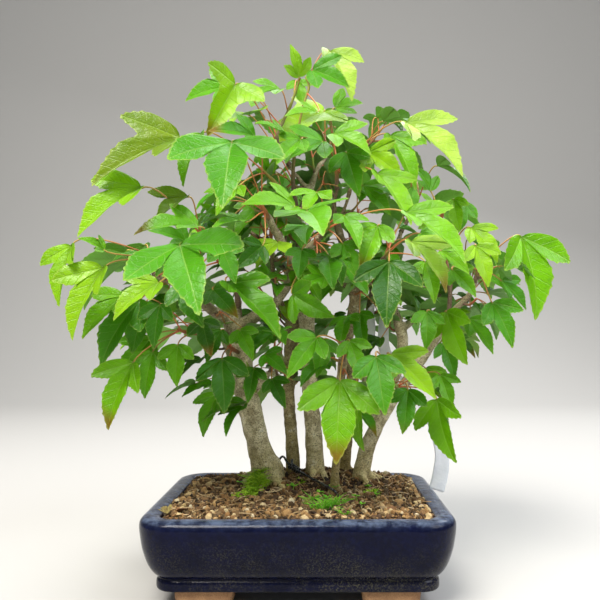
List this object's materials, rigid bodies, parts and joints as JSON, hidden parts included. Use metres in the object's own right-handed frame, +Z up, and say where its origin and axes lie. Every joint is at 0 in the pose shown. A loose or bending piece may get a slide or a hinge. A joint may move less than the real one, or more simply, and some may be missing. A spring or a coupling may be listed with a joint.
{
  "type": "bonsai tree",
  "caption": "Trident maple bonsai: a clump of slender stems with three-lobed leaves, growing in a deep navy glazed rectangular pot on unglazed feet.",
  "frame": {"origin": "middle of the whole plant's footprint, on the ground under the pot's feet", "axes": "+Z up; +Y towards the back of the pot, so that the pictured front faces -Y; +X to the right seen from the front"},
  "size_m": [0.3646, 0.2674, 0.3896],
  "materials": {
    "glaze": "deep navy stoneware glaze, glossy, worn lighter along the rim",
    "bark": "smooth grey-brown bark with fine dark pores",
    "leaf": "fresh green leaf, waxy above and paler below",
    "soil": "granular fired-clay and pumice bonsai soil",
    "wire": "black anodised training wire",
    "label": "thin white plastic strip, blank",
    "screen": "black plastic mesh"
  },
  "bodies": {
    "root": {"stem_left": "bark", "stem_left_middle": "bark", "stem_middle": "bark", "stem_front": "bark", "stem_right": "bark", "stem_tall": "bark", "tie_wire": "wire", "label_strip": "label", "pot": "glaze", "drain_screen_left": "screen", "drain_screen_right": "screen", "soil": "soil", "leaves_left_shoulder": "leaf", "leaves_far_left": "leaf", "leaves_left_middle": "leaf", "leaves_front_left": "leaf", "leaves_low_left": "leaf", "leaves_trunk_left": "leaf", "leaves_low_middle": "leaf", "leaves_front_fan": "leaf", "leaves_upper_left": "leaf", "leaves_upper_middle": "leaf", "leaves_top_left": "leaf", "leaves_top_right": "leaf", "leaves_right_front": "leaf", "leaves_right_top": "leaf", "leaves_far_right": "leaf", "leaves_right_middle": "leaf", "leaves_low_right": "leaf", "leaves_low_front": "leaf", "leaves_middle_left": "leaf", "leaves_middle": "leaf", "leaves_back_left_low": "leaf", "leaves_back_left": "leaf", "leaves_back_left_top": "leaf", "leaves_left_end": "leaf", "leaves_left_back": "leaf", "leaves_back_middle": "leaf", "leaves_back_top": "leaf", "leaves_back_top_right": "leaf", "leaves_back_right_top": "leaf", "leaves_back_right_middle": "leaf", "leaves_back_right": "leaf", "leaves_back_right_low": "leaf", "leaves_right_back": "leaf", "leaves_back_low": "leaf", "leaves_back_low_left": "leaf"}
  },
  "joints": []
}
